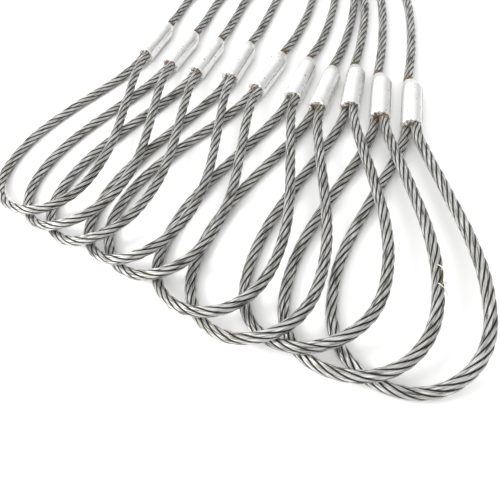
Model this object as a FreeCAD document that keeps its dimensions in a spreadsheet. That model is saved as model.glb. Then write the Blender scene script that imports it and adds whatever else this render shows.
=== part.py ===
import FreeCAD, Part

import math
import os

import Sketcher

# Ten wire rope slings in a bundle.  Each is one length of round strand rope with a soft eye:
# the rope turns back on itself and an aluminium ferrule is pressed over both parts.  The
# plain ends are seized with soft wire, and a heavier wire binds the ten ropes together near
# those ends.  The eyes lie fanned out on the floor, each one over the next.
#
# Frame: millimetres, +Z up, the floor at Z = 0, +Y from the eyes towards the plain ends,
# origin on the floor at the middle of the rectangle that the bundle covers.

V = FreeCAD.Vector

SIZES = [
    ("rope_diameter", 10.0, "nominal diameter of the rope"),
    ("ferrule_diameter", 21.5, "diameter of a ferrule after pressing"),
    ("ferrule_length", 66.0, "whole length of a ferrule"),
    ("ferrule_taper", 13.0, "length of the tapered nose of a ferrule"),
    ("nose_diameter", 14.5, "diameter of the nose at its tip"),
    ("nose_offset", 3.0, "how far the nose leans towards the standing rope"),
    ("rim_radius", 2.5, "rounding of the lower rim of a ferrule"),
    ("pressed_diameter", 8.6, "diameter of the rope where the ferrule grips it"),
    ("rope_pitch", 10.4, "distance between the two parts of the rope in a ferrule"),
    ("pair_tilt", 30.0, "tilt of those two parts from level, in degrees"),
    ("dead_end_depth", 50.0, "how far the dead end reaches into a ferrule"),
    ("slot_pitch", 5.4, "sideways step from one rope to the next under the binding"),
    ("row_rise", 9.2, "height of the upper row of ropes above the lower row"),
    ("binding_wire", 2.5, "diameter of the wire that binds the bundle"),
    ("binding_turns", 8.0, "turns of wire in the binding"),
    ("binding_gap", 0.3, "gap between the binding and the ropes inside it"),
    ("binding_corner", 5.5, "inner corner radius of the binding"),
    ("seizing_wire", 1.2, "diameter of the wire round each plain end"),
    ("seizing_turns", 10.0, "turns of wire round each plain end"),
    ("seizing_gap", 0.1, "gap between a seizing and its rope"),
    ("seizing_setback", 4.0, "plain rope left beyond a seizing"),
    ("flex_gap", 3.0, "gap in a rope's tube where it flexes, so that its halves clear"),
]

SLING_COUNT = 10
BINDING = V(-33.0, 344.0, 0.0)
FLEX_Y = 230.0

# One side of an eye, from the ferrule's lower face to the foot of the eye, as distances
# across and along.  The first two points follow the rope where it leaves the ferrule.
EYE_SIDE = [
    (8.0, -24.0),
    (17.0, -50.0),
    (36.0, -97.0),
    (52.0, -141.0),
    (60.0, -180.0),
    (58.3, -225.0),
    (36.0, -255.6),
]
EYE_FOOT = -267.3

# The rope's straight way out of a ferrule's lower face, how far it splays there, and how far
# down the eye its own width is reached.
EYE_EXIT = 11.0
EXIT_SPLAY = 0.7
WIDENED_BY = -100.0

# The left side of an eye lies on the floor, under the slings before it.  Its foot rises over
# the left side of the slings after it, and its right side stays up on them.
OVER_Z = 16.2
RISE_RUN = 72.0
CREST_RUN = 30.0
FALL_RUN = 80.0

# For each sling: the middle of its ferrule's lower face and its heading in degrees from +Y
# towards +X; its eye's own shape, as the widths of its left and right sides and its reach
# against those above, with the sideways lean of its foot in the middle; where along the eye
# the rope starts to rise and how high it rises; and the points of its leg.
SLINGS = [
    (
        (-184.5, -61.5, 4.6),
        (1.28, 0.94, 14.0, 1.03),
        (262, 21.4),
        [(-185, 44), (-186, 78), (-165, 140), (-118, 205), (-77, 265)],
    ),
    (
        (-138.2, -78.8, 6.7),
        (1.09, 1.00, 15.0, 1.01),
        (273, 25.7),
        [(-135, 28), (-136.5, 78), (-121, 140), (-91, 205), (-65, 265)],
    ),
    (
        (-95.5, -90.5, 5.7),
        (1.08, 0.91, 6.0, 1.005),
        (269, 23.4),
        [(-92.5, 18), (-94.5, 78), (-86, 140), (-68, 205), (-54, 265)],
    ),
    (
        (-47.5, -96.5, 2.9),
        (1.05, 0.85, 3.0, 1.02),
        (264, 26.1),
        [(-46.5, 12), (-48.5, 78), (-48, 140), (-45.5, 205), (-41, 265)],
    ),
    (
        (-7.3, -112.4, 9.8),
        (1.07, 0.97, 17.5, 0.985),
        (276, 22.3),
        [(4.5, -4), (6, 38), (3, 80), (-5, 140), (-17, 205), (-31, 265)],
    ),
    (
        (38.7, -120.5, 1.4),
        (1.05, 0.90, 7.0, 1.035),
        (252, 22.2),
        [(40.5, -12), (38.5, 36), (33.5, 80), (20, 140), (-3, 205), (-22, 265)],
    ),
    (
        (70.9, -133.2, 1.1),
        (1.03, 0.97, 15.5, 1.035),
        (266, 26.2),
        [(69.5, -25), (67, 30), (59.5, 80), (41, 140), (12, 205), (-13, 265)],
    ),
    (
        (104.5, -128.1, -6.7),
        (1.01, 0.97, -4.5, 1.035),
        (263, 24.2),
        [(89.5, -20), (82.5, 35), (72.5, 80), (51, 140), (18, 205), (-8, 265)],
    ),
    (
        (137.8, -139.3, -9.9),
        (1.10, 0.91, -6.0, 1.03),
        (259, 18.2),
        [(116, -25), (106, 30), (94, 80), (69, 140), (32, 205), (0, 265)],
    ),
    (
        (170.2, -146.5, -9.1),
        (1.01, 0.93, 5.0, 1.00),
        (300, 17.4),
        [(149.5, -28), (139, 28), (126, 80), (96, 140), (48, 205), (9, 265)],
    ),
]

# A leg's straight way out of the nose, and where every other leg rises to the upper row.
LEG_EXIT = 10.0
STACK_FROM = 75.0
STACK_RUN = 120.0

# The legs come to their places under the binding a little before it, drawn in slightly, and
# stay in them a little beyond it.
DRAWN_IN_BEFORE = 38.0
DRAWN_IN_BY = 0.15
HELD_BEYOND = 24.0

# Where the tails go beyond the binding: their spread, heights and ends.
TAIL_PITCH = 8.0
TAIL_LOWER_Z = 6.6
TAIL_UPPER_Z = 18.2
TAIL_LOWER_Y = 420.0
TAIL_UPPER_Y = 402.0

# How much of the shorter run a corner's arc takes up on each side, and how far a tube's
# volume may be from its section times its length.
TRIM_SHARE = 0.45
VOLUME_TOLERANCE = 0.01

doc = FreeCAD.newDocument("wire_rope_slings")
sheet = doc.addObject("Spreadsheet::Sheet", "Sizes")
for row, (alias, value, meaning) in enumerate(SIZES, start=1):
    sheet.set(f"A{row}", meaning)
    sheet.set(f"B{row}", str(value))
    sheet.setAlias(f"B{row}", alias)
doc.recompute()


def size(alias):
    return float(getattr(sheet, alias))


ROPE_D = size("rope_diameter")
LYING_Z = ROPE_D / 2
FERRULE_R = size("ferrule_diameter") / 2
FERRULE_L = size("ferrule_length")
TILT = math.radians(size("pair_tilt"))
PART_ACROSS = size("rope_pitch") / 2 * math.cos(TILT)
PART_UP = size("rope_pitch") / 2 * math.sin(TILT)
STANDING_Z = FERRULE_R - PART_UP
DEAD_Z = FERRULE_R + PART_UP
LOWER_Z = LYING_Z + size("binding_wire") + size("binding_gap")
UPPER_Z = LOWER_Z + size("row_rise")


# ---- Routes: straight runs joined by tangent arcs -------------------------------------


def rounded(points):
    """The edges of a route: each corner is an arc as large as its two runs allow."""
    edges, start = [], points[0]
    radii = []
    for before, corner, after in zip(points, points[1:], points[2:]):
        back, on = before - corner, after - corner
        trim = TRIM_SHARE * min(back.Length, on.Length)
        half_turn = (math.pi - back.getAngle(on)) / 2
        radius = trim / math.tan(half_turn)
        back.normalize()
        on.normalize()
        inward = (back + on).normalize()
        middle = corner + inward * (math.hypot(trim, radius) - radius)
        enter, leave = corner + back * trim, corner + on * trim
        edges.append(Part.LineSegment(start, enter).toShape())
        edges.append(Part.Arc(enter, middle, leave).toShape())
        start = leave
        radii.append(radius)
    edges.append(Part.LineSegment(start, points[-1]).toShape())
    return edges, radii


def tube(points, diameter, name):
    """A solid tube along a route, with its volume compared with its section times its length."""
    edges, radii = rounded(points)
    wire = Part.Wire(edges)
    end = Part.Wire(Part.makeCircle(diameter / 2, points[0], points[1] - points[0]))
    solid = wire.makePipeShell([end], True, False)
    expected = math.pi * diameter**2 / 4 * wire.Length
    if not solid.isValid() or abs(solid.Volume / expected - 1) > VOLUME_TOLERANCE:
        raise ValueError(f"{name}: volume {solid.Volume:.0f}, expected {expected:.0f}")
    print(f"{name}: {wire.Length:.0f} mm long, smallest radius {min(radii):.0f} mm")
    return solid


def heading_axes(heading):
    """The directions across a sling, to the right, and along it, towards its leg."""
    turn = math.radians(heading)
    return V(math.cos(turn), -math.sin(turn), 0), V(math.sin(turn), math.cos(turn), 0)


def eye_height(run, rise, crest):
    """The height of an eye's rope at a distance along it from the ferrule."""
    top = rise + RISE_RUN
    knots = [
        (rise, LYING_Z),
        (top, crest),
        (top + CREST_RUN, crest),
        (top + CREST_RUN + FALL_RUN, OVER_Z),
    ]
    if run <= rise:
        return LYING_Z
    for (run_a, z_a), (run_b, z_b) in zip(knots, knots[1:]):
        if run <= run_b:
            return z_a + (z_b - z_a) * (run - run_a) / (run_b - run_a)
    return OVER_Z


def eye_outline(left, right, lean, reach):
    """An eye's points across and along, from the standing part round to the dead end."""

    def placed(side, width):
        return [
            (
                u * (1 + (width - 1) * min(1.0, v / WIDENED_BY))
                + lean * (v / EYE_FOOT) ** 2,
                v * reach,
            )
            for u, v in side
        ]

    exits = [(PART_ACROSS, 0.0), (PART_ACROSS + EXIT_SPLAY, -EYE_EXIT)]
    mirrored = [(-u, v) for u, v in EYE_SIDE]
    left_side = [(-u, v) for u, v in exits] + placed(mirrored, left)
    right_side = exits + placed(EYE_SIDE, right)
    return left_side + placed([(0.0, EYE_FOOT)], 1.0) + right_side[::-1]


def eye_route(index):
    """The points of an eye, from the standing part of the rope round to its dead end."""
    (x, y, heading), shape, (rise, crest), _ = SLINGS[index]
    across, along = heading_axes(heading)
    outline = eye_outline(*shape)
    points, run = [], 0.0
    for k, (u, v) in enumerate(outline):
        if k:
            run += math.dist(outline[k - 1], outline[k])
        z = eye_height(run, rise, crest)
        points.append(V(x, y, 0) + across * u + along * v + V(0, 0, z))
    points[0].z = points[1].z = STANDING_Z
    points[2].z = (STANDING_Z + LYING_Z) / 2
    points[-1].z = points[-2].z = DEAD_Z
    points[-3].z = (DEAD_Z + OVER_Z) / 2
    return points


def is_upper(index):
    """Whether a sling's rope is in the upper row under the binding."""
    return index % 2 == 0


def leg_route(index):
    """The points of a leg, from the ferrule's nose to the rope's plain end."""
    (x, y, heading), _, _, stations = SLINGS[index]
    across, along = heading_axes(heading)
    nose = V(x, y, 0) - across * PART_ACROSS
    points = [
        nose + along * FERRULE_L + V(0, 0, STANDING_Z),
        nose + along * (FERRULE_L + LEG_EXIT) + V(0, 0, STANDING_Z),
    ]
    for station_x, station_y in stations:
        z = LYING_Z
        if is_upper(index):
            rise = max(0.0, min(1.0, (station_y - STACK_FROM) / STACK_RUN))
            z += (UPPER_Z - LYING_Z) * rise
        points.append(V(station_x, station_y, z))
    step = index - (SLING_COUNT - 1) / 2
    slot = BINDING.x + step * size("slot_pitch")
    z = UPPER_Z if is_upper(index) else LOWER_Z
    points.append(V(slot - DRAWN_IN_BY * step, BINDING.y - DRAWN_IN_BEFORE, z))
    points.append(V(slot, BINDING.y + HELD_BEYOND, z))
    end_y = TAIL_UPPER_Y if is_upper(index) else TAIL_LOWER_Y
    end_z = TAIL_UPPER_Z if is_upper(index) else TAIL_LOWER_Z
    points.append(V(BINDING.x + step * TAIL_PITCH, end_y, end_z))
    return points


def split_at_flex(points):
    """The leg as two routes, with the flex gap between them."""
    half_gap = size("flex_gap") / 2
    for k, (a, b) in enumerate(zip(points, points[1:])):
        if a.y < FLEX_Y <= b.y:
            on = (b - a).normalize()
            middle = a + (b - a) * ((FLEX_Y - a.y) / (b.y - a.y))
            free = points[: k + 1] + [middle - on * half_gap]
            held = [middle + on * half_gap] + points[k + 1 :]
            return free, held, middle
    raise ValueError("the leg doesn't pass the place where it flexes")


# ---- Ropes ----------------------------------------------------------------------------


def add_shape(name, shape):
    piece = doc.addObject("Part::Feature", name)
    piece.Shape = shape
    piece.Placement = FreeCAD.Placement()
    piece.Label = name
    return piece


def sling_rope(index, name):
    """The free part of a rope: its eye, both pressed parts, and its leg up to the flex."""
    x, y, heading = SLINGS[index][0]
    across, along = heading_axes(heading)
    face = V(x, y, 0)
    pressed_r = size("pressed_diameter") / 2
    standing = Part.makeCylinder(
        pressed_r, FERRULE_L, face - across * PART_ACROSS + V(0, 0, STANDING_Z), along
    )
    dead_end = Part.makeCylinder(
        pressed_r,
        size("dead_end_depth"),
        face + across * PART_ACROSS + V(0, 0, DEAD_Z),
        along,
    )
    free, _, _ = split_at_flex(leg_route(index))
    eye = tube(eye_route(index), ROPE_D, f"{name} eye")
    leg = tube(free, ROPE_D, f"{name} leg")
    return add_shape(name, eye.fuse([standing, dead_end, leg]))


def rope_tail(index, name):
    """The part of a rope that the binding holds."""
    _, held, _ = split_at_flex(leg_route(index))
    return add_shape(name, tube(held, ROPE_D, name))


# ---- Ferrules -------------------------------------------------------------------------


def plane_of(body, role):
    for feature in body.Origin.OriginFeatures:
        if feature.Role == role:
            return feature
    raise ValueError(role)


def circle_sketch(body, name, diameter, across="0", up="0", along="0"):
    """A circle on the body's XY plane, with its size and place bound to the sheet."""
    sketch = body.newObject("Sketcher::SketchObject", f"{body.Name}_{name}")
    sketch.AttachmentSupport = [(plane_of(body, "XY_Plane"), "")]
    sketch.MapMode = "FlatFace"
    sketch.setExpression("AttachmentOffset.Base.x", across)
    sketch.setExpression("AttachmentOffset.Base.y", up)
    sketch.setExpression("AttachmentOffset.Base.z", along)
    radius = size(diameter) / 2
    ring = sketch.addGeometry(Part.Circle(V(0, 0, 0), V(0, 0, 1), radius), False)
    sketch.addConstraint(Sketcher.Constraint("Coincident", ring, 3, -1, 1))
    sized = sketch.addConstraint(Sketcher.Constraint("Diameter", ring, 2 * radius))
    sketch.setExpression(f"Constraints[{sized}]", f"Sizes.{diameter}")
    return sketch


def ferrule(index, name):
    """A pressed sleeve with a rounded lower rim, a tapered nose, and the rope's two ways in."""
    body = doc.addObject("PartDesign::Body", name)
    body.Label = name
    straight = "Sizes.ferrule_length - Sizes.ferrule_taper"
    barrel = body.newObject("PartDesign::Pad", f"{name}_barrel")
    barrel.Profile = circle_sketch(body, "barrel_outline", "ferrule_diameter")
    barrel.setExpression("Length", straight)
    nose = body.newObject("PartDesign::AdditiveLoft", f"{name}_nose")
    nose.Profile = circle_sketch(body, "shoulder", "ferrule_diameter", along=straight)
    nose.Sections = [
        circle_sketch(
            body,
            "tip",
            "nose_diameter",
            "-Sizes.nose_offset * cos(Sizes.pair_tilt)",
            "Sizes.nose_offset * sin(Sizes.pair_tilt)",
            "Sizes.ferrule_length",
        )
    ]
    nose.Ruled = True
    doc.recompute()
    rim = body.newObject("PartDesign::Fillet", f"{name}_rim")
    rim.Base = (nose, [lowest_edge(nose.Shape)])
    rim.setExpression("Radius", "Sizes.rim_radius")
    body.Tip = rim
    doc.recompute()
    for part, sign, depth in (
        ("standing_way", "-", "Sizes.ferrule_length"),
        ("dead_way", "", "Sizes.dead_end_depth"),
    ):
        before = body.Shape.Volume
        way = body.newObject("PartDesign::Pocket", f"{name}_{part}")
        way.Profile = circle_sketch(
            body,
            f"{part}_outline",
            "pressed_diameter",
            f"{sign}Sizes.rope_pitch / 2 * cos(Sizes.pair_tilt)",
            f"-1 * {sign}Sizes.rope_pitch / 2 * sin(Sizes.pair_tilt)",
        )
        way.Reversed = True
        way.setExpression("Length", depth)
        doc.recompute()
        if body.Shape.Volume >= before:
            raise ValueError(f"{name}_{part} cut nothing")
    x, y, heading = SLINGS[index][0]
    across, along = heading_axes(heading)
    turn = FreeCAD.Rotation(across, V(0, 0, -1), along, "ZXY")
    body.Placement = FreeCAD.Placement(V(x, y, FERRULE_R), turn)
    return body


def lowest_edge(shape):
    heights = [edge.BoundBox.ZMax for edge in shape.Edges]
    return f"Edge{heights.index(min(heights)) + 1}"


# ---- Wire -----------------------------------------------------------------------------


def binding(name):
    """The wire that binds the ten ropes, as a band of its turns side by side."""
    outer = rounded_block(name + "_outside", "Sizes.binding_wire")
    inner = rounded_block(name + "_inside", "0")
    band = doc.addObject("Part::Cut", name)
    band.Base, band.Tool = outer, inner
    band.Label = name
    return band


def rounded_block(name, grow):
    """The space round the two rows of ropes, grown on all four sides, with round corners."""
    gap = "2 * Sizes.binding_gap"
    block = doc.addObject("Part::Box", name)
    block.setExpression(
        "Length",
        f"{SLING_COUNT - 1} * Sizes.slot_pitch + Sizes.rope_diameter + {gap} + 2 * {grow}",
    )
    block.setExpression("Width", "Sizes.binding_wire * Sizes.binding_turns")
    block.setExpression(
        "Height", f"Sizes.row_rise + Sizes.rope_diameter + {gap} + 2 * {grow}"
    )
    doc.recompute()
    grown = float(block.Height) - size("row_rise") - ROPE_D - 2 * size("binding_gap")
    block.Placement.Base = V(
        BINDING.x - float(block.Length) / 2,
        BINDING.y - float(block.Width) / 2,
        size("binding_wire") - grown / 2,
    )
    soft = doc.addObject("Part::Fillet", name + "_rounded")
    soft.Base = block
    doc.recompute()
    radius = size("binding_corner") + grown / 2
    soft.Edges = [
        (k, radius, radius)
        for k, edge in enumerate(block.Shape.Edges, start=1)
        if edge.BoundBox.YLength > float(block.Width) / 2
    ]
    return soft


def end_seizing(index, name):
    """The soft wire round a plain end, as a sleeve of its turns side by side."""
    leg = leg_route(index)
    back = (leg[-2] - leg[-1]).normalize()
    start = leg[-1] + back * size("seizing_setback")
    turn = FreeCAD.Rotation(V(0, 0, 1), back)
    outside = doc.addObject("Part::Cylinder", name + "_outside")
    inside = doc.addObject("Part::Cylinder", name + "_inside")
    bore = "Sizes.rope_diameter / 2 + Sizes.seizing_gap"
    outside.setExpression("Radius", bore + " + Sizes.seizing_wire")
    inside.setExpression("Radius", bore)
    for part in (outside, inside):
        part.setExpression("Height", "Sizes.seizing_wire * Sizes.seizing_turns")
    sleeve = doc.addObject("Part::Cut", name)
    sleeve.Base, sleeve.Tool = outside, inside
    sleeve.Placement = FreeCAD.Placement(start, turn)
    sleeve.Label = name
    return sleeve


# ---- The bundle -----------------------------------------------------------------------

pieces = [binding("binding")]
for index in range(SLING_COUNT):
    number = f"{index + 1:02d}"
    pieces.append(sling_rope(index, f"sling_{number}_rope"))
    pieces.append(ferrule(index, f"sling_{number}_ferrule"))
    pieces.append(rope_tail(index, f"sling_{number}_tail"))
    pieces.append(end_seizing(index, f"sling_{number}_end_seizing"))
    flex = split_at_flex(leg_route(index))[2]
    print(f"sling_{number} flexes at {flex.x:.1f}, {flex.y:.1f}, {flex.z:.1f}")
doc.recompute()

for thing in doc.Objects:
    if "Invalid" in thing.State or "Error" in thing.State:
        raise ValueError(f"{thing.Label} failed: {thing.State}")
for piece in pieces:
    if piece.Shape.isNull() or not piece.Shape.isValid() or len(piece.Shape.Solids) != 1:
        raise ValueError(f"{piece.Label} isn't one valid solid")

os.makedirs("parts", exist_ok=True)
for piece in pieces:
    piece.Shape.exportStep(f"parts/{piece.Label}.step")
whole = Part.makeCompound([piece.Shape for piece in pieces]).BoundBox
print(f"{len(pieces)} pieces, X {whole.XMin:.1f} to {whole.XMax:.1f}")
print(f"Y {whole.YMin:.1f} to {whole.YMax:.1f}, Z {whole.ZMin:.1f} to {whole.ZMax:.1f}")
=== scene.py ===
import math

import bmesh
import bpy
import numpy as np
from mathutils import Matrix, Vector


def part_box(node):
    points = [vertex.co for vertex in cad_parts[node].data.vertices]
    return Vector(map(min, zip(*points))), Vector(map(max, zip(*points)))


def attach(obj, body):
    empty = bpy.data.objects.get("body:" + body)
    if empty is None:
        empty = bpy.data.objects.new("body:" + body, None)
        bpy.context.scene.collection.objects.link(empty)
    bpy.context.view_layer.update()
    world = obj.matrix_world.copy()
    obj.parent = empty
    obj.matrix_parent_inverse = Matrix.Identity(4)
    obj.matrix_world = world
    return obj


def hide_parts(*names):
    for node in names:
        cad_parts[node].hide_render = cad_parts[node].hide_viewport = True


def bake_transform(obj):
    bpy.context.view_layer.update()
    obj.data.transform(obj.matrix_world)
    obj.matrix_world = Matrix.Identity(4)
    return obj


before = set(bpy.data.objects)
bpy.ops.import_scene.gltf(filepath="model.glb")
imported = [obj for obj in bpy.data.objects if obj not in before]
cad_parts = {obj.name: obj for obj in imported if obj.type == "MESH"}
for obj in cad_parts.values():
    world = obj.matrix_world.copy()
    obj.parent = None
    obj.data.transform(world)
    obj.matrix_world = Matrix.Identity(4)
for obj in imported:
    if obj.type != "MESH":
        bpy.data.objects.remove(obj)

bl_info = {
    "name": "Wire rope slings",
    "version": (1, 0, 0),
    "blender": (4, 5, 0),
    "location": "3D View > Sidebar > Slings",
    "description": "Builds a bundle of wire rope slings with pressed soft eyes",
    "category": "Object",
}

# ---- Sizes and routes ------------------------------------------------------------------

# Sizes times MM are in metres.  Plain numbers in the routes are millimetres, and eye_route
# and leg_route turn them into metres.
MM = 0.001
SLING_COUNT = 10
ROPE_D = 10 * MM
LYING_Z = ROPE_D / 2
FERRULE_R = 10.75 * MM
FERRULE_L = 66 * MM
PAIR_TILT = math.radians(30)
HALF_PAIR = 5.2 * MM
PART_ACROSS = HALF_PAIR * math.cos(PAIR_TILT)
PART_UP = HALF_PAIR * math.sin(PAIR_TILT)
STANDING_Z = FERRULE_R - PART_UP
DEAD_Z = FERRULE_R + PART_UP
BINDING = Vector((-33, 344, 0)) * MM
SLOT_PITCH = 5.4
LOWER_Z = 7.8
UPPER_Z = 17.0

# One side of an eye, from the ferrule's lower face to the foot, across and along.
EYE_SIDE = [
    (8.0, -24.0),
    (17.0, -50.0),
    (36.0, -97.0),
    (52.0, -141.0),
    (60.0, -180.0),
    (58.3, -225.0),
    (36.0, -255.6),
]
EYE_FOOT = -267.3
EYE_EXIT = 11.0
EXIT_SPLAY = 0.7
WIDENED_BY = -100.0

# The height of an eye's rope, along its length.
OVER_Z = 16.2
RISE_RUN = 72.0
CREST_RUN = 30.0
FALL_RUN = 80.0

# For each sling: the middle of its ferrule's lower face and its heading in degrees from +Y
# towards +X; its eye's own shape; where its eye starts to rise and how high; and its leg.
SLINGS = [
    (
        (-184.5, -61.5, 4.6),
        (1.28, 0.94, 14.0, 1.03),
        (262, 21.4),
        [(-185, 44), (-186, 78), (-165, 140), (-118, 205), (-77, 265)],
    ),
    (
        (-138.2, -78.8, 6.7),
        (1.09, 1.00, 15.0, 1.01),
        (273, 25.7),
        [(-135, 28), (-136.5, 78), (-121, 140), (-91, 205), (-65, 265)],
    ),
    (
        (-95.5, -90.5, 5.7),
        (1.08, 0.91, 6.0, 1.005),
        (269, 23.4),
        [(-92.5, 18), (-94.5, 78), (-86, 140), (-68, 205), (-54, 265)],
    ),
    (
        (-47.5, -96.5, 2.9),
        (1.05, 0.85, 3.0, 1.02),
        (264, 26.1),
        [(-46.5, 12), (-48.5, 78), (-48, 140), (-45.5, 205), (-41, 265)],
    ),
    (
        (-7.3, -112.4, 9.8),
        (1.07, 0.97, 17.5, 0.985),
        (276, 22.3),
        [(4.5, -4), (6, 38), (3, 80), (-5, 140), (-17, 205), (-31, 265)],
    ),
    (
        (38.7, -120.5, 1.4),
        (1.05, 0.90, 7.0, 1.035),
        (252, 22.2),
        [(40.5, -12), (38.5, 36), (33.5, 80), (20, 140), (-3, 205), (-22, 265)],
    ),
    (
        (70.9, -133.2, 1.1),
        (1.03, 0.97, 15.5, 1.035),
        (266, 26.2),
        [(69.5, -25), (67, 30), (59.5, 80), (41, 140), (12, 205), (-13, 265)],
    ),
    (
        (104.5, -128.1, -6.7),
        (1.01, 0.97, -4.5, 1.035),
        (263, 24.2),
        [(89.5, -20), (82.5, 35), (72.5, 80), (51, 140), (18, 205), (-8, 265)],
    ),
    (
        (137.8, -139.3, -9.9),
        (1.10, 0.91, -6.0, 1.03),
        (259, 18.2),
        [(116, -25), (106, 30), (94, 80), (69, 140), (32, 205), (0, 265)],
    ),
    (
        (170.2, -146.5, -9.1),
        (1.01, 0.93, 5.0, 1.00),
        (300, 17.4),
        [(149.5, -28), (139, 28), (126, 80), (96, 140), (48, 205), (9, 265)],
    ),
]

# A leg's straight way out of the nose, where every other leg rises to the upper row, how the
# legs come to their places under the binding, and their tails beyond it.
LEG_EXIT = 10.0
STACK_FROM = 75.0
STACK_RUN = 120.0
DRAWN_IN_BEFORE = 38.0
DRAWN_IN_BY = 0.15
HELD_BEYOND = 24.0
TAIL_PITCH = 8.0
TAIL_LOWER_Z = 6.6
TAIL_UPPER_Z = 18.2
TAIL_LOWER_Y = 420.0
TAIL_UPPER_Y = 402.0


def heading_axes(heading):
    """The directions across a sling, to the right, and along it, towards its leg."""
    turn = math.radians(heading)
    across = Vector((math.cos(turn), -math.sin(turn), 0))
    along = Vector((math.sin(turn), math.cos(turn), 0))
    return across, along


def eye_height(run, rise, crest):
    """The height of an eye's rope at a distance along it from the ferrule."""
    top = rise + RISE_RUN
    return float(
        np.interp(
            run,
            [rise, top, top + CREST_RUN, top + CREST_RUN + FALL_RUN],
            [LYING_Z / MM, crest, crest, OVER_Z],
        )
    )


def eye_outline(left, right, lean, reach):
    """An eye's points across and along, from the standing part round to the dead end."""

    def placed(side, width):
        return [
            (
                u * (1 + (width - 1) * min(1.0, v / WIDENED_BY))
                + lean * (v / EYE_FOOT) ** 2,
                v * reach,
            )
            for u, v in side
        ]

    across = PART_ACROSS / MM
    exits = [(across, 0.0), (across + EXIT_SPLAY, -EYE_EXIT)]
    mirrored = [(-u, v) for u, v in EYE_SIDE]
    left_side = [(-u, v) for u, v in exits] + placed(mirrored, left)
    right_side = exits + placed(EYE_SIDE, right)
    return left_side + placed([(0.0, EYE_FOOT)], 1.0) + right_side[::-1]


def eye_route(index):
    """The points of an eye, from the standing part of the rope round to its dead end."""
    (x, y, heading), shape, (rise, crest), _ = SLINGS[index]
    across, along = heading_axes(heading)
    outline = eye_outline(*shape)
    points, run = [], 0.0
    for k, (u, v) in enumerate(outline):
        if k:
            run += math.dist(outline[k - 1], outline[k])
        z = eye_height(run, rise, crest)
        points.append((Vector((x, y, z)) + across * u + along * v) * MM)
    points[0].z = points[1].z = STANDING_Z
    points[2].z = (STANDING_Z + LYING_Z) / 2
    points[-1].z = points[-2].z = DEAD_Z
    points[-3].z = (DEAD_Z + OVER_Z * MM) / 2
    return points


def is_upper(index):
    """Whether a sling's rope is in the upper row under the binding."""
    return index % 2 == 0


def leg_route(index):
    """The points of a leg, from the ferrule's nose to the rope's plain end."""
    (x, y, heading), _, _, stations = SLINGS[index]
    across, along = heading_axes(heading)
    nose = Vector((x, y, 0)) * MM - across * PART_ACROSS
    points = [
        nose + along * FERRULE_L + Vector((0, 0, STANDING_Z)),
        nose + along * (FERRULE_L + LEG_EXIT * MM) + Vector((0, 0, STANDING_Z)),
    ]
    for station_x, station_y in stations:
        rise = 0.0
        if is_upper(index):
            rise = max(0.0, min(1.0, (station_y - STACK_FROM) / STACK_RUN))
        z = LYING_Z / MM + (UPPER_Z - LYING_Z / MM) * rise
        points.append(Vector((station_x, station_y, z)) * MM)
    step = index - (SLING_COUNT - 1) / 2
    slot = BINDING.x / MM + step * SLOT_PITCH
    bound_y = BINDING.y / MM
    z = UPPER_Z if is_upper(index) else LOWER_Z
    points.append(Vector((slot - DRAWN_IN_BY * step, bound_y - DRAWN_IN_BEFORE, z)) * MM)
    points.append(Vector((slot, bound_y + HELD_BEYOND, z)) * MM)
    end_y = TAIL_UPPER_Y if is_upper(index) else TAIL_LOWER_Y
    end_z = TAIL_UPPER_Z if is_upper(index) else TAIL_LOWER_Z
    points.append(Vector((BINDING.x / MM + step * TAIL_PITCH, end_y, end_z)) * MM)
    return points


# ---- Reading a route's spline and sweeping sections along it ---------------------------


def spline_line(points):
    """The points of the NURBS spline that has a route's points as its control points."""
    curve = bpy.data.curves.new("route", "CURVE")
    curve.dimensions = "3D"
    curve.resolution_u = 24
    spline = curve.splines.new("NURBS")
    spline.points.add(len(points) - 1)
    for control, place in zip(spline.points, points):
        control.co = (*place, 1.0)
    spline.order_u = 3
    spline.use_endpoint_u = True
    holder = bpy.data.objects.new("route", curve)
    mesh = bpy.data.meshes.new_from_object(holder)
    line = np.array([vertex.co[:] for vertex in mesh.vertices])
    bpy.data.objects.remove(holder)
    bpy.data.curves.remove(curve)
    bpy.data.meshes.remove(mesh)
    return line


def even_line(line, step):
    """A line's points at even steps along it, and how far along each one is."""
    gaps = np.linalg.norm(np.diff(line, axis=0), axis=1)
    run = np.concatenate([[0.0], np.cumsum(gaps)])
    count = max(3, int(round(run[-1] / step)) + 1)
    places = np.linspace(0.0, run[-1], count)
    even = np.stack([np.interp(places, run, line[:, k]) for k in range(3)], axis=1)
    return even, places


def line_axes(line):
    """Tangent, normal and side vectors that don't twist along a line."""
    tangent = np.gradient(line, axis=0)
    tangent /= np.linalg.norm(tangent, axis=1)[:, None]
    normal = np.zeros_like(line)
    start = np.array([0.0, 0.0, 1.0])
    for k, direction in enumerate(tangent):
        start = start - direction * start.dot(direction)
        start /= np.linalg.norm(start)
        normal[k] = start
    return tangent, normal, np.cross(tangent, normal)


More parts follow.
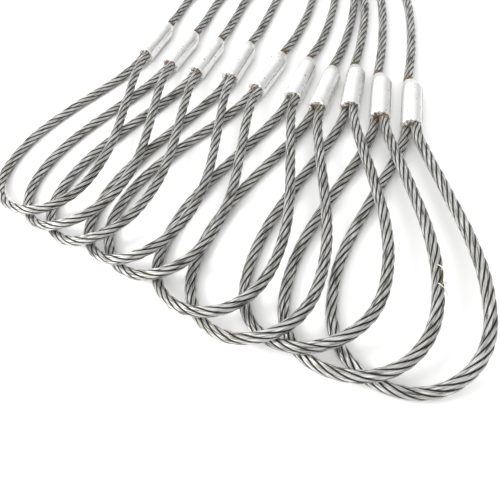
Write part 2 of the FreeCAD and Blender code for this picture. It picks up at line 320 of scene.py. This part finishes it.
class Skin:
    """Vertices, faces and per-vertex values of a mesh made of swept tubes."""

    def __init__(self):
        self.places, self.faces, self.values = [], [], {}
        self.count = 0

    def sweep(self, rings, **values):
        """Adds a tube with closed ends through rings, an array of rows of points."""
        rows, around = rings.shape[:2]
        index = self.count + np.arange(rows * around).reshape(rows, around)
        self.places.append(rings.reshape(-1, 3))
        nxt = np.roll(index, -1, axis=1)
        quads = np.stack([index[:-1], nxt[:-1], nxt[1:], index[1:]], axis=-1)
        self.faces += quads.reshape(-1, 4).tolist()
        self.faces += [index[0][::-1].tolist(), index[-1].tolist()]
        for key, value in values.items():
            spread = np.broadcast_to(value, (rows, around)).reshape(-1)
            self.values.setdefault(key, []).append(spread)
        self.count += rows * around

    def build(self, name, material):
        """Makes the object, at the origin with its place in its mesh."""
        mesh = bpy.data.meshes.new(name)
        places = np.concatenate(self.places)
        mesh.from_pydata(places.tolist(), [], self.faces)
        for key, parts in self.values.items():
            layer = mesh.attributes.new(key, "FLOAT", "POINT")
            layer.data.foreach_set("value", np.concatenate(parts).astype(np.float32))
        mesh.polygons.foreach_set("use_smooth", [True] * len(mesh.polygons))
        mesh.materials.append(material)
        mesh.validate()
        piece = bpy.data.objects.new(name, mesh)
        bpy.context.scene.collection.objects.link(piece)
        return piece


def wire_rings(line, radius, around=8):
    """The rings of a round wire along a line."""
    _, normal, side = line_axes(line)
    turn = np.linspace(0, 2 * math.pi, around, endpoint=False)
    return line[:, None] + radius * (
        np.cos(turn)[None, :, None] * normal[:, None]
        + np.sin(turn)[None, :, None] * side[:, None]
    )


# ---- Rope -------------------------------------------------------------------------------

STRANDS = 6
LAY = 73 * MM
STRAND_R = 1.72 * MM
STRAND_AT = 3.28 * MM
WIRES = 12
CORE_R = 1.9 * MM
RING_STEP = 2.6 * MM
AROUND = 20

# How far the points round a strand crowd to the side that faces out, and how far each
# strand's pattern is shifted from the one before it, in metres.
CROWDING = 0.35
STRAND_SHIFT = 0.37

# How rusty each eye's rope is where it enters the ferrule.
EYE_RUST = (0.5, 0.15, 0.45, 0.1, 0.2, 0.15, 0.45, 0.1, 0.55, 0.25)

# The worn patch: which sling's eye it is on, how far along it, and the wires that have
# sprung out there, each by distance along, angle from the top and height above the rope.
WORN_SLING = 8
WORN_AT = 434.5 * MM
WORN_REACH = 11 * MM
WORN_AWAY = 0.4
BROKEN_WIRE_R = 0.38 * MM
BROKEN_WIRES = [
    [(-5.5, -0.1, -0.1), (-7.5, 0.4, 0.9), (-10.5, 1.0, 1.0), (-13.0, 1.45, 1.8)],
    [(-5.0, 0.6, 0.0), (-3.5, 0.8, 1.2), (-4.0, 1.2, 1.3), (-6.5, 1.3, 0.2)],
    [(11.0, 0.0, 0.0), (10.5, 0.3, 0.8), (8.0, 0.6, 1.2), (6.5, 0.5, 0.4)],
    [(8.0, 0.9, 0.0), (7.0, 1.0, 0.7), (4.5, 1.1, 0.5)],
]


def strand_turns():
    """Angles round a strand, closer together on the side that faces out."""
    even = np.linspace(-math.pi, math.pi, AROUND, endpoint=False) + math.pi / AROUND
    return even - CROWDING * np.sin(even)


def rope_skin(line, start_turn, stain, worn=None):
    """Six strands laid right-handed round a core, along a line, with a worn patch or none."""
    skin = Skin()
    line, run = even_line(line, RING_STEP)
    tangent, normal, side = line_axes(line)
    lean = math.atan(2 * math.pi * STRAND_AT / LAY)
    turns = strand_turns()
    dirt = stain(run)
    for strand in range(STRANDS):
        angle = start_turn + 2 * math.pi * (strand / STRANDS + run / LAY)
        out = np.cos(angle)[:, None] * normal + np.sin(angle)[:, None] * side
        across = -np.sin(angle)[:, None] * normal + np.cos(angle)[:, None] * side
        flank = across * math.cos(lean) - tangent * math.sin(lean)
        centre = line + out * STRAND_AT
        round_it = (
            np.cos(turns)[None, :, None] * out[:, None]
            + np.sin(turns)[None, :, None] * flank[:, None]
        )
        patch = np.zeros(round_it.shape[:2])
        if worn is not None:
            at, towards = worn
            facing = np.clip(2.2 * (out @ towards) - 0.4, 0, 1)
            patch = patch + (facing * np.exp(-(((run - at) / WORN_REACH) ** 4)))[:, None]
        rings = centre[:, None] + STRAND_R * (1 - WORN_AWAY * patch[:, :, None]) * round_it
        twist = run * math.tan(lean) / (STRAND_R * math.cos(lean))
        # The depth round each strand sets the painted shade and grease black between the
        # strands.
        skin.sweep(
            rings,
            wire=WIRES / (2 * math.pi) * (turns[None, :] + twist[:, None]),
            depth=np.broadcast_to((1 - np.cos(turns)) / 2, rings.shape[:2]),
            run=run[:, None] + STRAND_SHIFT * strand,
            stain=dirt[:, None],
            worn=patch,
        )
    # The core counts as deepest, so it takes the painted shade and grease black all over.
    core = wire_rings(line[::2], CORE_R, 6)
    skin.sweep(core, wire=0.0, depth=1.0, run=run[::2, None], stain=dirt[::2, None], worn=0.0)
    return skin, line


# ---- Materials --------------------------------------------------------------------------

DULL_ZINC = (0.46, 0.45, 0.395)
BRIGHT_STREAK = (0.80, 0.80, 0.79)
DARK_STREAK = (0.13, 0.127, 0.117)
GLINT = (0.90, 0.90, 0.88)
GROOVE_SHADE_AND_GRIME = (0.07, 0.068, 0.062)
GAP_SHADE_AND_GREASE = (0.010, 0.0095, 0.009)
ORANGE_RUST = (0.27, 0.165, 0.075)
OLD_RUST = (0.09, 0.075, 0.04)
PALE_MOSS = (0.21, 0.22, 0.11)
DARK_MOSS = (0.05, 0.055, 0.03)
DULL_ALUMINIUM = (0.76, 0.76, 0.745)
FLASH_LINE_DARK = (0.17, 0.165, 0.15)
PIT_DIRT = (0.20, 0.185, 0.15)
END_SHADE_AND_SOOT = (0.07, 0.055, 0.04)
BROWN_STAIN = (0.21, 0.12, 0.05)
SNAPPED_STEEL = ((0.86, 0.85, 0.80), (0.66, 0.65, 0.60))
ANNEALED_STEEL = ((0.42, 0.41, 0.39), (0.24, 0.23, 0.21))


def new_material(name):
    material = bpy.data.materials.new(name)
    material.use_nodes = True
    tree = material.node_tree
    shader = tree.nodes["Principled BSDF"]
    return material, tree, shader


def attribute(tree, name):
    node = tree.nodes.new("ShaderNodeAttribute")
    node.attribute_name = name
    return node.outputs["Fac"]


def noise(tree, scale, detail=3.0, vector=None):
    node = tree.nodes.new("ShaderNodeTexNoise")
    node.inputs["Scale"].default_value = scale
    node.inputs["Detail"].default_value = detail
    if vector is None:
        vector = tree.nodes.new("ShaderNodeTexCoord").outputs["Object"]
    tree.links.new(vector, node.inputs["Vector"])
    return node.outputs["Fac"]


def combine(tree, *values):
    node = tree.nodes.new("ShaderNodeCombineXYZ")
    for socket, value in zip(node.inputs, values):
        tree.links.new(value, socket)
    return node.outputs["Vector"]


def maths(tree, operation, a, b=None, clamp=False):
    node = tree.nodes.new("ShaderNodeMath")
    node.operation = operation
    node.use_clamp = clamp
    for socket, value in zip(node.inputs, (a, b)):
        if value is None:
            continue
        if isinstance(value, (int, float)):
            socket.default_value = value
        else:
            tree.links.new(value, socket)
    return node.outputs["Value"]


def ramp(tree, value, low, high):
    node = tree.nodes.new("ShaderNodeMapRange")
    node.inputs["From Min"].default_value = low
    node.inputs["From Max"].default_value = high
    tree.links.new(value, node.inputs["Value"])
    return node.outputs["Result"]


def mix(tree, factor, a, b):
    node = tree.nodes.new("ShaderNodeMix")
    node.data_type = "RGBA"
    for socket, value in ((node.inputs[0], factor), (node.inputs[6], a), (node.inputs[7], b)):
        if isinstance(value, (int, float)):
            socket.default_value = value
        elif isinstance(value, tuple):
            socket.default_value = (*value, 1.0)
        else:
            tree.links.new(value, socket)
    return node.outputs[2]


def bump(tree, shader, height, distance, strength=1.0, under=None):
    node = tree.nodes.new("ShaderNodeBump")
    node.inputs["Strength"].default_value = strength
    node.inputs["Distance"].default_value = distance
    tree.links.new(height, node.inputs["Height"])
    if under is not None:
        tree.links.new(under, node.inputs["Normal"])
    tree.links.new(node.outputs["Normal"], shader.inputs["Normal"])
    return node.outputs["Normal"]


def rope_material(name="galvanised_rope"):
    """Galvanised wires, with painted shade and grease black between the strands, painted shade
    and grime in the grooves between the wires, and rust where dirt has gathered.
    """
    material, tree, shader = new_material(name)
    keys = ("wire", "depth", "stain", "run", "worn")
    wire, depth, stain, run, worn = (attribute(tree, key) for key in keys)
    crown = maths(tree, "ABSOLUTE", maths(tree, "SINE", maths(tree, "MULTIPLY", wire, math.pi)))
    patches = noise(tree, 38, 4)
    specks = noise(tree, 1100, 2)
    place = combine(tree, maths(tree, "MULTIPLY", wire, 0.75), maths(tree, "MULTIPLY", run, 60))
    streaks = noise(tree, 1.0, 2, place)
    steel = mix(tree, ramp(tree, patches, 0.38, 0.66), colour("rope_colour"), DULL_ZINC)
    steel = mix(tree, ramp(tree, streaks, 0.52, 0.62), steel, BRIGHT_STREAK)
    steel = mix(tree, ramp(tree, streaks, 0.47, 0.37), steel, DARK_STREAK)
    steel = mix(tree, ramp(tree, specks, 0.66, 0.74), steel, GLINT)
    # Painted shade, with some grime: darker in the grooves between the wires.
    groove_shade_and_grime = maths(tree, "MULTIPLY", ramp(tree, crown, 0.55, 0.1), 0.7)
    steel = mix(tree, groove_shade_and_grime, steel, GROOVE_SHADE_AND_GRIME)
    # Painted shade, with some grease: the colour goes black deep in the gaps between the
    # strands.
    gap = ramp(tree, depth, 0.14, 0.34)
    steel = mix(tree, gap, steel, GAP_SHADE_AND_GREASE)
    rough_patch = maths(tree, "SUBTRACT", noise(tree, 300, 3), 0.5)
    blotches = maths(tree, "ADD", stain, maths(tree, "MULTIPLY", rough_patch, 1.3))
    rusty = maths(tree, "MULTIPLY", ramp(tree, blotches, 0.3, 0.6), setting("rust"), True)
    rust = mix(tree, ramp(tree, streaks, 0.42, 0.58), ORANGE_RUST, OLD_RUST)
    steel = mix(tree, rusty, steel, rust)
    mossy = ramp(tree, maths(tree, "ADD", worn, rough_patch), 0.25, 0.55)
    moss = mix(tree, ramp(tree, specks, 0.4, 0.6), PALE_MOSS, DARK_MOSS)
    steel = mix(tree, mossy, steel, moss)
    tree.links.new(steel, shader.inputs["Base Color"])
    dull = maths(tree, "MAXIMUM", gap, maths(tree, "MAXIMUM", rusty, mossy))
    tree.links.new(ramp(tree, dull, 1.15, 0.0), shader.inputs["Metallic"])
    rough = maths(tree, "ADD", 0.27, maths(tree, "MULTIPLY", patches, 0.14))
    rough = maths(tree, "ADD", rough, maths(tree, "MULTIPLY", dull, 0.4), True)
    tree.links.new(rough, shader.inputs["Roughness"])
    first = bump(tree, shader, crown, 0.25 * MM)
    second = bump(tree, shader, streaks, 0.25 * MM, 0.7, first)
    bump(tree, shader, specks, 0.04 * MM, 0.6, second)
    return material


def ferrule_material(name="pressed_aluminium"):
    """Pressed aluminium: satin, with die marks along it and brown stains and painted shade near
    both ends, darkest on the lower face where the ropes go in.
    """
    material, tree, shader = new_material(name)
    end, marks, flash = (attribute(tree, key) for key in ("end", "around", "flash"))
    cloud = noise(tree, 60, 4)
    fine = noise(tree, 900, 3)
    metal = mix(tree, ramp(tree, cloud, 0.35, 0.7), colour("ferrule_colour"), DULL_ALUMINIUM)
    # A darker line just beside each flash ridge, broken up by noise.
    edge = maths(tree, "MULTIPLY", flash, ramp(tree, noise(tree, 150, 4), 0.3, 0.55), True)
    metal = mix(tree, edge, metal, FLASH_LINE_DARK)
    pits = ramp(tree, noise(tree, 380, 2), 0.66, 0.71)
    metal = mix(tree, pits, metal, PIT_DIRT)
    marks_at = maths(tree, "MULTIPLY", maths(tree, "SUBTRACT", noise(tree, 480, 4), 0.5), 2.2)
    blotches = maths(tree, "ADD", end, marks_at)
    # Stain with painted shade: near-black on the lower face and inside the nose, where the
    # ropes go in.
    end_shade_and_stain = maths(tree, "MULTIPLY", ramp(tree, blotches, 0.72, 0.9), setting("rust"), True)
    end_shade_and_soot = mix(tree, ramp(tree, cloud, 0.4, 0.6), END_SHADE_AND_SOOT, BROWN_STAIN)
    metal = mix(tree, end_shade_and_stain, metal, end_shade_and_soot)
    tree.links.new(metal, shader.inputs["Base Color"])
    tree.links.new(ramp(tree, end_shade_and_stain, 1.2, 0.0), shader.inputs["Metallic"])
    rough = maths(tree, "ADD", 0.36, maths(tree, "MULTIPLY", cloud, 0.14))
    rough = maths(tree, "ADD", rough, maths(tree, "MULTIPLY", end_shade_and_stain, 0.4), True)
    tree.links.new(rough, shader.inputs["Roughness"])
    lines = maths(tree, "SINE", maths(tree, "MULTIPLY", marks, 95.0))
    first = bump(tree, shader, lines, 0.02 * MM, 0.5)
    second = bump(tree, shader, fine, 0.05 * MM, 0.5, first)
    bump(tree, shader, cloud, 0.6 * MM, 0.5, second)
    return material


def bright_wire_material(name="bright_wire"):
    """Freshly snapped wire: bright, with fine scratches."""
    material, tree, shader = new_material(name)
    scratches = noise(tree, 1400, 3)
    steel = mix(tree, ramp(tree, scratches, 0.35, 0.7), *SNAPPED_STEEL)
    tree.links.new(steel, shader.inputs["Base Color"])
    shader.inputs["Metallic"].default_value = 0.85
    shader.inputs["Roughness"].default_value = 0.35
    bump(tree, shader, scratches, 0.02 * MM, 0.5)
    return material


def soft_wire_material(name="soft_wire"):
    """Annealed wire: dull grey with darker draw marks."""
    material, tree, shader = new_material(name)
    cloud = noise(tree, 300, 4)
    steel = mix(tree, ramp(tree, cloud, 0.35, 0.7), *ANNEALED_STEEL)
    tree.links.new(steel, shader.inputs["Base Color"])
    shader.inputs["Metallic"].default_value = 0.9
    rough = maths(tree, "ADD", 0.3, maths(tree, "MULTIPLY", cloud, 0.3))
    tree.links.new(rough, shader.inputs["Roughness"])
    bump(tree, shader, noise(tree, 1500, 2), 0.03 * MM, 0.6)
    return material


# ---- Ferrule ----------------------------------------------------------------------------

FERRULE_AROUND = 96

# In millimetres: the rounding of the lower rim; where the taper starts and how long it is;
# how much narrower the nose is at its tip and how far it leans towards the standing part.
RIM = 1.3
TAPER_FROM = 53
TAPER_L = 13
NOSE_NARROWS = 3.5
NOSE_LEANS = 3.0

# The height of the flash ridges and the depth of the hollows beside them, in millimetres.
RIDGE = 0.30


def ferrule_profile():
    """Rings of a ferrule from its lower face to inside its nose: along, radius, lean, and stain
    with painted shade.
    """
    outer = FERRULE_R / MM
    # The lower face, where the ropes go in, takes the most stain and painted shade.
    rows = [(-0.6, 0.5, 0, 1.0), (-0.8, 5.0, 0, 1.0), (-0.5, 7.6, 0, 0.8), (-0.1, 8.8, 0, 0.6)]
    for t in np.linspace(0, math.pi / 2, 6):
        z, r = RIM - RIM * math.cos(t), outer - RIM + RIM * math.sin(t)
        rows.append((z, r, 0.0, 0.5 - 0.08 * z))
    for z in np.linspace(2.5, 51.0, 28):
        rows.append((z, outer, 0.0, max(0.0, 0.5 - 0.05 * z)))
    for s in np.linspace(0.0, 1.0, 14)[1:]:
        ease = 0.25 * s * s * (3 - 2 * s) + 0.75 * s
        radius, lean = outer - NOSE_NARROWS * ease, NOSE_LEANS * ease
        rows.append((TAPER_FROM + TAPER_L * s, radius, lean, 0.35 * s**3))
    inside = ((66.4, 6.6, 0.8), (66.2, 5.4, 1.0), (65.8, 0.4, 1.0))
    return rows + [(z, r, NOSE_LEANS, stain) for z, r, stain in inside]


def ferrule_skin(index):
    """A pressed sleeve with a flash ridge down each side and slight hollows between them."""
    x, y, heading = SLINGS[index][0]
    across, along = (np.array(v) for v in heading_axes(heading))
    up = np.array([0.0, 0.0, 1.0])
    turn = np.linspace(0, 2 * math.pi, FERRULE_AROUND, endpoint=False)
    rng = np.random.default_rng(40 + index)
    part = math.radians(rng.uniform(8, 24))
    waves = rng.uniform(-math.pi, math.pi, 2)
    rings, ends, flashes = [], [], []
    for z, r, lean, stain in ferrule_profile():
        radius = np.full(FERRULE_AROUND, r)
        flash = np.zeros(FERRULE_AROUND)
        hold = max(0.0, min(1.0, (z - 1) / 4, (64 - z) / 9))
        for centre in (part, part + math.pi):
            gap = (turn - centre + math.pi) % (2 * math.pi) - math.pi
            radius += hold * RIDGE * np.exp(-((gap / 0.05) ** 2))
            for side in (-0.17, 0.17):
                radius -= hold * RIDGE * np.exp(-(((gap - side) / 0.09) ** 2))
            flash += hold * np.exp(-(((gap - 0.09) / 0.035) ** 2))
        radius -= 0.07 * hold * (1 + np.sin(3 * turn + z / 9 + waves[0]))
        radius -= 0.05 * hold * (1 + np.sin(2 * turn - z / 5 + waves[1]))
        ring = (
            np.array([x, y, FERRULE_R / MM])
            + along * z
            - across * lean * math.cos(PAIR_TILT)
            - up * lean * math.sin(PAIR_TILT)
            + radius[:, None] * (np.cos(turn)[:, None] * across + np.sin(turn)[:, None] * up)
        )
        ragged = np.sin(5 * turn + waves[0]) + np.sin(11 * turn + waves[1])
        ring -= np.outer((0.5 + 0.35 * ragged) * max(0.0, 1 - abs(z) / 2.5), along)
        ring[:, 2] = np.maximum(ring[:, 2], 0.05)
        rings.append(ring * MM)
        ends.append(stain)
        flashes.append(flash)
    skin = Skin()
    skin.sweep(
        np.array(rings)[:, ::-1],
        end=np.array(ends)[:, None],
        around=turn[None, ::-1],
        flash=np.array(flashes)[:, ::-1],
    )
    return skin


# ---- Settings ---------------------------------------------------------------------------


class SlingSettings(bpy.types.PropertyGroup):
    # Also sets the painted shade on the ferrules' lower faces and inside their noses.
    rust: bpy.props.FloatProperty(
        name="Rust",
        description="Rust where the ropes enter the ferrules",
        default=1.0,
        min=0,
        max=2,
        subtype="FACTOR",
    )
    rope_colour: bpy.props.FloatVectorProperty(
        name="Rope",
        description="Colour of clean zinc",
        default=(0.55, 0.55, 0.545),
        subtype="COLOR",
    )
    ferrule_colour: bpy.props.FloatVectorProperty(
        name="Ferrule",
        description="Colour of clean metal",
        default=(0.83, 0.83, 0.825),
        subtype="COLOR",
    )
    key_power: bpy.props.FloatProperty(
        name="Key light", description="Power of the key light", default=12.0, unit="POWER"
    )
    sky_strength: bpy.props.FloatProperty(
        name="Sky", description="Strength of the soft all-round light", default=1.68, min=0
    )


def settings():
    return bpy.context.scene.sling_settings


def setting(name):
    return getattr(settings(), name)


def colour(name):
    return tuple(setting(name))


def made(name, maker):
    """The material of that name, made the first time it is asked for."""
    return bpy.data.materials.get(name) or maker(name)


# ---- Operators --------------------------------------------------------------------------


class SLINGS_OT_eyes(bpy.types.Operator):
    """Builds the ropes of the ten soft eyes"""

    bl_idname = "slings.eyes"
    bl_label = "Eyes"

    def execute(self, context):
        rope = made("galvanised_rope", rope_material)
        for index in range(SLING_COUNT):
            number = f"{index + 1:02d}"
            route = eye_route(index)
            line = spline_line(route)
            total = np.linalg.norm(np.diff(line, axis=0), axis=1).sum()

            def stain(run, total=total, index=index):
                near = np.minimum(run, total - run)
                return EYE_RUST[index] * np.clip(1.2 - near / (13 * MM), 0, 1)

            worn = None
            if index == WORN_SLING:
                worn = (WORN_AT, np.array(heading_axes(SLINGS[index][0][2])[0]))
                self.broken_wires(line, number, worn)
            skin, path = rope_skin(line, 0.7 * index, stain, worn)
            piece = skin.build(f"eye_rope_{number}", rope)
            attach(piece, f"sling_{number}")
            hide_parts(f"sling_{number}_rope")
        return {"FINISHED"}

    def broken_wires(self, line, number, worn):
        """A few wires of an outer strand that have snapped and sprung out of the rope."""
        at, towards = worn
        even, run = even_line(line, 1 * MM)
        skin = Skin()
        for route in BROKEN_WIRES:
            points = []
            for along, turn, height in route:
                middle = [np.interp(at + along * MM, run, even[:, k]) for k in range(3)]
                out = np.array([0, 0, math.cos(turn)]) + math.sin(turn) * towards
                points.append(Vector(middle) + Vector(out) * (ROPE_D / 2 + height * MM))
            skin.sweep(wire_rings(spline_line(points), BROKEN_WIRE_R, 8))
        piece = skin.build(f"broken_wires_{number}", made("bright_wire", bright_wire_material))
        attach(piece, f"sling_{number}")


class SLINGS_OT_legs(bpy.types.Operator):
    """Builds the ropes of the ten legs, from the ferrules to their plain ends"""

    bl_idname = "slings.legs"
    bl_label = "Legs"

    def execute(self, context):
        rope = made("galvanised_rope", rope_material)
        wire = made("soft_wire", soft_wire_material)
        for index in range(SLING_COUNT):
            number = f"{index + 1:02d}"
            route = leg_route(index)
            line = spline_line(route)

            def stain(run):
                return 0.85 * np.clip(1.2 - run / (14 * MM), 0, 1)

            skin, path = rope_skin(line, 0.9 * index + 0.4, stain)
            piece = skin.build(f"leg_rope_{number}", rope)
            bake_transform(piece)
            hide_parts(f"sling_{number}_tail")
            seizing = end_seizing(path, f"end_seizing_{number}", wire)
            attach(seizing, "bundle")
            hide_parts(f"sling_{number}_end_seizing")
        return {"FINISHED"}


SEIZING_TURNS = 10
SEIZING_WIRE_R = 0.6 * MM
SEIZING_BORE_R = 5.1 * MM
SEIZING_FROM_END = 4.6 * MM


def end_seizing(path, name, material):
    """The turns of soft wire round a rope's plain end."""
    gaps = np.linalg.norm(np.diff(path, axis=0), axis=1)
    back = gaps.sum() - np.concatenate([[0.0], np.cumsum(gaps)])
    _, normal, side = line_axes(path)
    run = np.linspace(0, 1, SEIZING_TURNS * 20 + 1)
    from_end = SEIZING_FROM_END + run * (SEIZING_TURNS - 1) * 2 * SEIZING_WIRE_R
    order = np.argsort(back)

    def at(values):
        return np.stack(
            [np.interp(from_end, back[order], values[order, k]) for k in range(3)], axis=1
        )

    centre, normal, side = at(path), at(normal), at(side)
    turn = 2 * math.pi * SEIZING_TURNS * run
    helix = centre + (SEIZING_BORE_R + SEIZING_WIRE_R) * (
        np.cos(turn)[:, None] * normal + np.sin(turn)[:, None] * side
    )
    skin = Skin()
    skin.sweep(wire_rings(helix, SEIZING_WIRE_R * 1.02, 8))
    return skin.build(name, material)


class SLINGS_OT_ferrules(bpy.types.Operator):
    """Builds the pressed ferrules"""

    bl_idname = "slings.ferrules"
    bl_label = "Ferrules"

    def execute(self, context):
        aluminium = made("pressed_aluminium", ferrule_material)
        for index in range(SLING_COUNT):
            number = f"{index + 1:02d}"
            piece = ferrule_skin(index).build(f"ferrule_{number}", aluminium)
            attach(piece, f"sling_{number}")
            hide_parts(f"sling_{number}_ferrule")
        return {"FINISHED"}


BINDING_WIRE_R = 1.25 * MM
BINDING_CORNER_R = 6.75 * MM
BINDING_TURNS = 8


class SLINGS_OT_binding(bpy.types.Operator):
    """Winds the binding wire round the bundle and twists its ends together"""

    bl_idname = "slings.binding"
    bl_label = "Binding"

    def execute(self, context):
        wire = made("soft_wire", soft_wire_material)
        low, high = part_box("binding")
        r = BINDING_WIRE_R
        half_w = (high[0] - low[0]) / 2 - r
        half_h = (high[2] - low[2]) / 2 - r
        centre = Vector([(a + b) / 2 for a, b in zip(low, high)])
        outline = rounded_rectangle(half_w, half_h, BINDING_CORNER_R, 14)
        count = len(outline)
        steps = (BINDING_TURNS - 1) * count
        line = []
        for k in range(steps + 1):
            px, pz = outline[k % count]
            y = low[1] + r + (high[1] - low[1] - 2 * r) * k / steps
            line.append((centre.x + px, y, centre.z + pz))
        skin = Skin()
        skin.sweep(wire_rings(np.array(line), r * 1.01, 10))
        piece = skin.build("binding_turns", wire)
        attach(piece, "bundle")
        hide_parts("binding")
        pigtail = self.pigtail(Vector((centre.x + 9 * MM, centre.y, high[2] + 1.2 * MM)), r)
        tail = pigtail.build("binding_twist", wire)
        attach(tail, "bundle")
        return {"FINISHED"}

    def pigtail(self, start, r):
        """The wire's two ends, twisted together."""
        skin = Skin()
        run = np.linspace(0, 1, 60)
        axis = np.stack(
            [
                start.x + 26 * MM * run,
                start.y + 3 * MM * np.sin(2.2 * run),
                start.z + 2.5 * MM * np.sin(math.pi * run),
            ],
            axis=1,
        )
        _, normal, side = line_axes(axis)
        for phase in (0, math.pi):
            turn = phase + 2 * math.pi * 3 * run
            line = axis + r * 0.98 * (
                np.cos(turn)[:, None] * normal + np.sin(turn)[:, None] * side
            )
            skin.sweep(wire_rings(line, r, 10))
        return skin


def rounded_rectangle(half_w, half_h, corner, steps):
    """Points round a rectangle with round corners, some steps to a corner."""
    outline = []
    for cx, cz, first in (
        (half_w - corner, half_h - corner, 0.0),
        (corner - half_w, half_h - corner, 0.5),
        (corner - half_w, corner - half_h, 1.0),
        (half_w - corner, corner - half_h, 1.5),
    ):
        for t in np.linspace(0, 0.5, steps):
            a = math.pi * (first + t)
            outline.append((cx + corner * math.cos(a), cz + corner * math.sin(a)))
    return outline


# The soft light: its colours, the way its bright side lies, and where it turns from one
# to the other.
BRIGHT_SIDE = (1.0, 1.0, 1.0)
DARK_SIDE = (0.34, 0.34, 0.345)
BRIGHT_WAY = (-0.78, -0.25, 0.57)
SHADE_RANGE = (-0.5, 0.55)

KEY_PLACE = (-0.95, -0.85, 0.95)
KEY_WIDTH = 0.6
KEY_AIM = (0, -0.1, 0)

FLOOR_HALF = 8.0
FLOOR_DROP = 0.2 * MM
FLOOR_COLOUR = (0.92, 0.92, 0.915, 1)

CAMERA_LENS = 34.56
CAMERA_SENSOR = 36
CAMERA_PLACE = (0.2102, -0.5219, 0.3584)
CAMERA_RIGHT = (0.9194, 0.3439, -0.1910)
CAMERA_FORWARD = (-0.3446, 0.4699, -0.8127)


class SLINGS_OT_stage(bpy.types.Operator):
    """Sets out the floor, the lights and the camera"""

    bl_idname = "slings.stage"
    bl_label = "Stage"

    def execute(self, context):
        scene = context.scene
        scene.view_settings.view_transform = "Standard"
        self.floor(scene)
        scene.world = self.studio()
        self.light("key", KEY_PLACE, KEY_WIDTH, setting("key_power"))
        self.camera(scene)
        return {"FINISHED"}

    def floor(self, scene):
        """A plain pale floor, a hair below the ropes that lie on it."""
        shape = bmesh.new()
        bmesh.ops.create_grid(shape, x_segments=1, y_segments=1, size=FLOOR_HALF)
        mesh = bpy.data.meshes.new("floor")
        shape.to_mesh(mesh)
        shape.free()
        floor = bpy.data.objects.new("floor", mesh)
        floor.location.z = -FLOOR_DROP
        scene.collection.objects.link(floor)
        paper, _, shader = new_material("paper")
        shader.inputs["Base Color"].default_value = FLOOR_COLOUR
        shader.inputs["Roughness"].default_value = 0.9
        mesh.materials.append(paper)

    def camera(self, scene):
        data = bpy.data.cameras.new("camera")
        data.lens = CAMERA_LENS
        data.sensor_width = CAMERA_SENSOR
        data.clip_start = 0.01
        camera = bpy.data.objects.new("camera", data)
        right = Vector(CAMERA_RIGHT)
        forward = Vector(CAMERA_FORWARD).normalized()
        right = (right - forward * right.dot(forward)).normalized()
        up = right.cross(forward)
        turn = Matrix((right, up, -forward)).transposed().to_4x4()
        camera.matrix_world = Matrix.Translation(CAMERA_PLACE) @ turn
        scene.collection.objects.link(camera)
        scene.camera = camera

    def studio(self):
        """A soft all-round light, brighter above and to the left than low on the right."""
        world = bpy.data.worlds.new("studio")
        world.use_nodes = True
        tree = world.node_tree
        sky = tree.nodes["Background"]
        turned = tree.nodes.new("ShaderNodeVectorMath")
        turned.operation = "DOT_PRODUCT"
        turned.inputs[1].default_value = BRIGHT_WAY
        facing = tree.nodes.new("ShaderNodeTexCoord").outputs["Generated"]
        tree.links.new(facing, turned.inputs[0])
        shade = ramp(tree, turned.outputs["Value"], *SHADE_RANGE)
        tree.links.new(mix(tree, shade, DARK_SIDE, BRIGHT_SIDE), sky.inputs["Color"])
        sky.inputs["Strength"].default_value = setting("sky_strength")
        return world

    def light(self, name, place, width, power):
        data = bpy.data.lights.new(name, "AREA")
        data.shape = "DISK"
        data.size = width
        data.energy = power
        lamp = bpy.data.objects.new(name, data)
        lamp.location = place
        aim = Vector(KEY_AIM) - Vector(place)
        lamp.rotation_euler = aim.to_track_quat("-Z", "Y").to_euler()
        bpy.context.scene.collection.objects.link(lamp)


class SLINGS_PT_panel(bpy.types.Panel):
    """Lists the settings and the pieces that can be built"""

    bl_label = "Wire rope slings"
    bl_idname = "SLINGS_PT_panel"
    bl_space_type = "VIEW_3D"
    bl_region_type = "UI"
    bl_category = "Slings"

    def draw(self, context):
        for name in SlingSettings.__annotations__:
            self.layout.prop(context.scene.sling_settings, name)
        for operator in OPERATORS:
            self.layout.operator(operator.bl_idname)


OPERATORS = (
    SLINGS_OT_stage,
    SLINGS_OT_eyes,
    SLINGS_OT_legs,
    SLINGS_OT_ferrules,
    SLINGS_OT_binding,
)
CLASSES = (SlingSettings,) + OPERATORS + (SLINGS_PT_panel,)


def register():
    for cls in CLASSES:
        bpy.utils.register_class(cls)
    bpy.types.Scene.sling_settings = bpy.props.PointerProperty(type=SlingSettings)


def unregister():
    del bpy.types.Scene.sling_settings
    for cls in reversed(CLASSES):
        bpy.utils.unregister_class(cls)


def main():
    """Registers the add-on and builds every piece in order."""
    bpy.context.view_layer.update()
    register()
    for operator in OPERATORS:
        group, name = operator.bl_idname.split(".")
        getattr(getattr(bpy.ops, group), name)()


if __name__ == "__main__":
    main()
